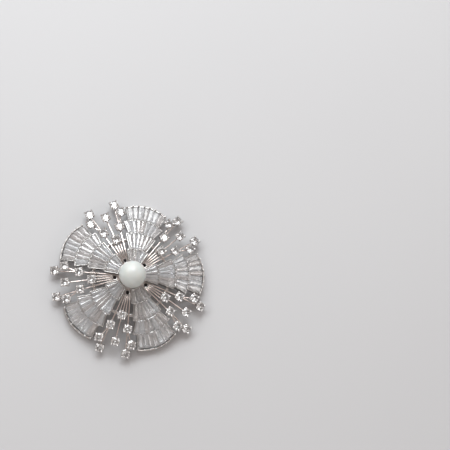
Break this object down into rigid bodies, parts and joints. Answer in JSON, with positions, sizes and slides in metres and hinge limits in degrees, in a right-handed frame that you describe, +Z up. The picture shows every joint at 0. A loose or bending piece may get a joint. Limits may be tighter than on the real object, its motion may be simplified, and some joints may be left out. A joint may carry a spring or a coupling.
{
  "type": "decorative hair pin",
  "caption": "Round domed jewelled hair pin with a central pearl, fans of tapered stones, open sprays of round stones, and a hinged pin with a roll-over safety catch behind.",
  "frame": {"origin": "on the hub's axis, in the plane that the feet of the five fans stand on", "axes": "+Z up out of the pearl, away from the hair; +X along the closed pin towards the catch, across the dome; +Y completes the right-handed frame and is up on the ornament as it is pictured"},
  "size_m": [0.0574, 0.0587, 0.0196],
  "materials": {
    "rhodium": "polished bright plating",
    "pin_steel": "drawn wire, polished",
    "crystal": "clear faceted stones",
    "nacre": "lustrous pearl"
  },
  "bodies": {
    "jewel": {"spray_frame": "rhodium", "fan_frame_1": "rhodium", "fan_baguettes_1": "crystal", "round_stone_1a": "crystal", "round_stone_1b1": "crystal", "round_stone_1b2": "crystal", "round_stone_1c1": "crystal", "round_stone_1c2": "crystal", "round_stone_1c3": "crystal", "round_stone_1d1": "crystal", "round_stone_1d2": "crystal", "fan_frame_2": "rhodium", "fan_baguettes_2": "crystal", "round_stone_2a": "crystal", "round_stone_2b1": "crystal", "round_stone_2b2": "crystal", "round_stone_2c1": "crystal", "round_stone_2c2": "crystal", "round_stone_2c3": "crystal", "round_stone_2d1": "crystal", "round_stone_2d2": "crystal", "fan_frame_3": "rhodium", "fan_baguettes_3": "crystal", "round_stone_3a": "crystal", "round_stone_3b1": "crystal", "round_stone_3b2": "crystal", "round_stone_3c1": "crystal", "round_stone_3c2": "crystal", "round_stone_3c3": "crystal", "round_stone_3d1": "crystal", "round_stone_3d2": "crystal", "fan_frame_4": "rhodium", "fan_baguettes_4": "crystal", "round_stone_4a": "crystal", "round_stone_4b1": "crystal", "round_stone_4b2": "crystal", "round_stone_4c1": "crystal", "round_stone_4c2": "crystal", "round_stone_4c3": "crystal", "round_stone_4d1": "crystal", "round_stone_4d2": "crystal", "fan_frame_5": "rhodium", "fan_baguettes_5": "crystal", "round_stone_5a": "crystal", "round_stone_5b1": "crystal", "round_stone_5b2": "crystal", "round_stone_5c1": "crystal", "round_stone_5c2": "crystal", "round_stone_5c3": "crystal", "round_stone_5d1": "crystal", "round_stone_5d2": "crystal", "pearl": "nacre", "pearl_cup": "rhodium", "back_ring": "rhodium", "hinge_block": "rhodium", "hinge_rivet": "pin_steel", "catch_case": "rhodium"},
    "pin": {"pin_stem": "pin_steel"},
    "roller": {"catch_roller": "rhodium"}
  },
  "joints": [
    {"name": "pin_hinge", "type": "hinge", "parent": "jewel", "child": "pin", "pos_m": [-0.014, 0, 0.0023], "axis": [0, 1, 0], "range_deg": [0, 100]},
    {"name": "catch_roll", "type": "hinge", "parent": "jewel", "child": "roller", "pos_m": [0.0156, 0, 0.0023], "axis": [1, 0, 0], "range_deg": [0, 95]}
  ]
}
